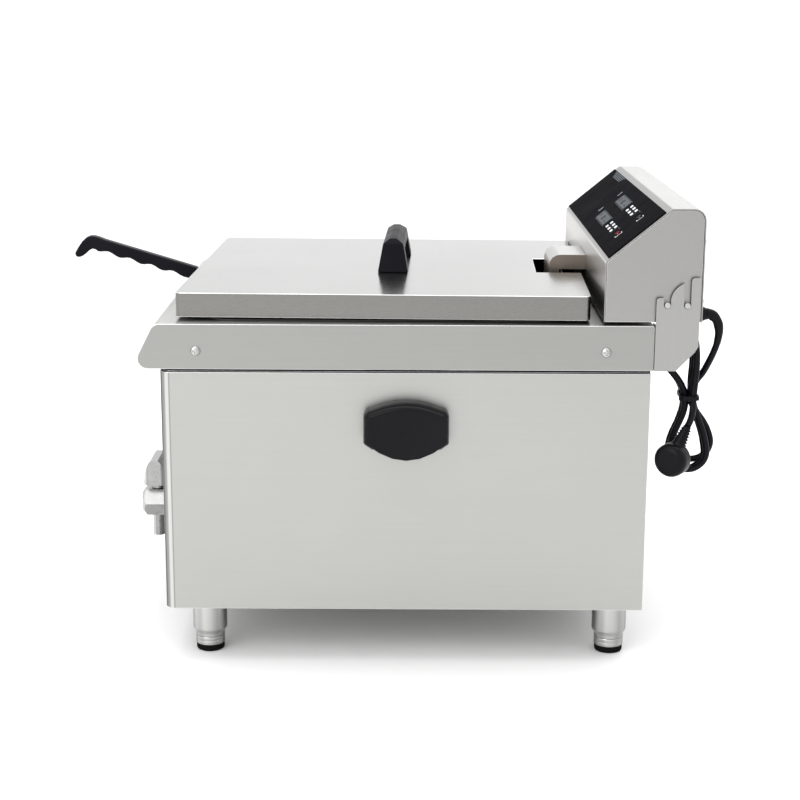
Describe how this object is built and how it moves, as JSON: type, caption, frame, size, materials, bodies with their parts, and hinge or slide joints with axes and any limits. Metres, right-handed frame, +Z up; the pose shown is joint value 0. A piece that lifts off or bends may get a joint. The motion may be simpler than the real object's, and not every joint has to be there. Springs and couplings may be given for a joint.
{
  "type": "deep fryer",
  "caption": "Counter-top electric deep fryer with a steel cabinet, loose lid, long-handled basket, drain tap and lift-off control head on rear brackets.",
  "frame": {"origin": "middle of the footprint at the bottom of the feet, with the cord left out", "axes": "+X from the tap towards the control head, +Y from the side with the cord towards the other side, +Z up"},
  "size_m": [0.7021, 0.49, 0.4815],
  "materials": {
    "cabinet_steel": "satin brushed stainless sheet",
    "deck_steel": "satin pressed stainless deck",
    "bright_steel": "bright drawn stainless",
    "head_steel": "satin folded stainless",
    "bracket_steel": "satin laser-cut plate",
    "tap_metal": "nickel-plated cast tap",
    "tap_brass": "machined brass",
    "element_metal": "heat-tinted sheathed element",
    "wire": "bright chromed wire",
    "lid_steel": "bright stainless sheet",
    "handle_plastic": "black moulded phenolic",
    "grip_plastic": "black moulded phenolic",
    "panel_film": "glossy dark membrane panel",
    "display_lens": "smoked display window",
    "foot_rubber": "black rubber pad in a steel ring",
    "cord_cover": "black rubber-covered lead",
    "cord_fittings": "black moulded plastic",
    "board": "green circuit board",
    "inner_plastic": "grey moulded plastic",
    "reset_red": "red push button"
  },
  "bodies": {
    "cabinet": {"body_shell": "cabinet_steel", "rear_panel": "cabinet_steel", "base_plate": "cabinet_steel", "leg_1": "bright_steel", "leg_2": "bright_steel", "leg_3": "bright_steel", "leg_4": "bright_steel", "tank": "bright_steel", "drain_pipe": "bright_steel", "element_support": "bright_steel", "element_neck": "bright_steel", "temperature_probe": "bright_steel", "limit_probe": "bright_steel", "pivot_pin_near_front": "bright_steel", "pivot_pin_near_rear": "bright_steel", "pivot_pin_far_front": "bright_steel", "pivot_pin_far_rear": "bright_steel", "top_deck": "deck_steel", "carry_handle_near": "handle_plastic", "carry_handle_far": "handle_plastic", "valve_body": "tap_metal", "head_shell": "head_steel", "head_side_near": "head_steel", "head_side_far": "head_steel", "head_rear_cover": "head_steel", "head_floor": "head_steel", "control_panel": "panel_film", "display_window_1": "display_lens", "display_window_2": "display_lens", "circuit_board": "board", "contactor": "inner_plastic", "terminal_block": "inner_plastic", "safety_thermostat": "inner_plastic", "heating_element_1": "element_metal", "heating_element_2": "element_metal", "heating_element_3": "element_metal", "bracket_near": "bracket_steel", "bracket_far": "bracket_steel", "power_cord": "cord_cover", "cord_hank": "cord_cover", "cord_tail": "cord_cover", "cable_gland": "cord_fittings", "cord_tie": "cord_fittings", "plug": "cord_fittings"},
    "lid": {"lid": "lid_steel", "lid_handle": "handle_plastic"},
    "basket": {"basket_mesh": "wire", "basket_rim": "wire", "basket_arm": "wire", "basket_grip": "grip_plastic"},
    "tap_lever": {"valve_lever": "tap_metal", "valve_stem": "tap_metal", "valve_ball": "tap_brass"},
    "reset_button": {"reset_button": "reset_red"},
    "foot_1": {"foot_1": "foot_rubber"},
    "foot_2": {"foot_2": "foot_rubber"},
    "foot_3": {"foot_3": "foot_rubber"},
    "foot_4": {"foot_4": "foot_rubber"}
  },
  "joints": [
    {"name": "lid_lift", "type": "slide", "parent": "cabinet", "child": "lid", "axis": [0, 0, 1], "range_m": [0, 0.42]},
    {"name": "basket_lift", "type": "slide", "parent": "cabinet", "child": "basket", "axis": [0, 0, 1], "range_m": [0, 0.26]},
    {"name": "tap_turn", "type": "hinge", "parent": "cabinet", "child": "tap_lever", "pos_m": [-0.25485, 0, 0.1385], "axis": [0, 0, -1], "range_deg": [0, 90]},
    {"name": "reset_press", "type": "slide", "parent": "cabinet", "child": "reset_button", "axis": [-1, 0, 0], "range_m": [0, 0.003], "stiffness_N_per_m": 400},
    {"name": "foot_1_level", "type": "slide", "parent": "cabinet", "child": "foot_1", "axis": [0, 0, -1], "range_m": [0, 0.012]},
    {"name": "foot_2_level", "type": "slide", "parent": "cabinet", "child": "foot_2", "axis": [0, 0, -1], "range_m": [0, 0.012]},
    {"name": "foot_3_level", "type": "slide", "parent": "cabinet", "child": "foot_3", "axis": [0, 0, -1], "range_m": [0, 0.012]},
    {"name": "foot_4_level", "type": "slide", "parent": "cabinet", "child": "foot_4", "axis": [0, 0, -1], "range_m": [0, 0.012]}
  ],
  "couplings": [
    {"joint": "basket_lift", "follows": "lid_lift", "ratio": 0.6}
  ]
}
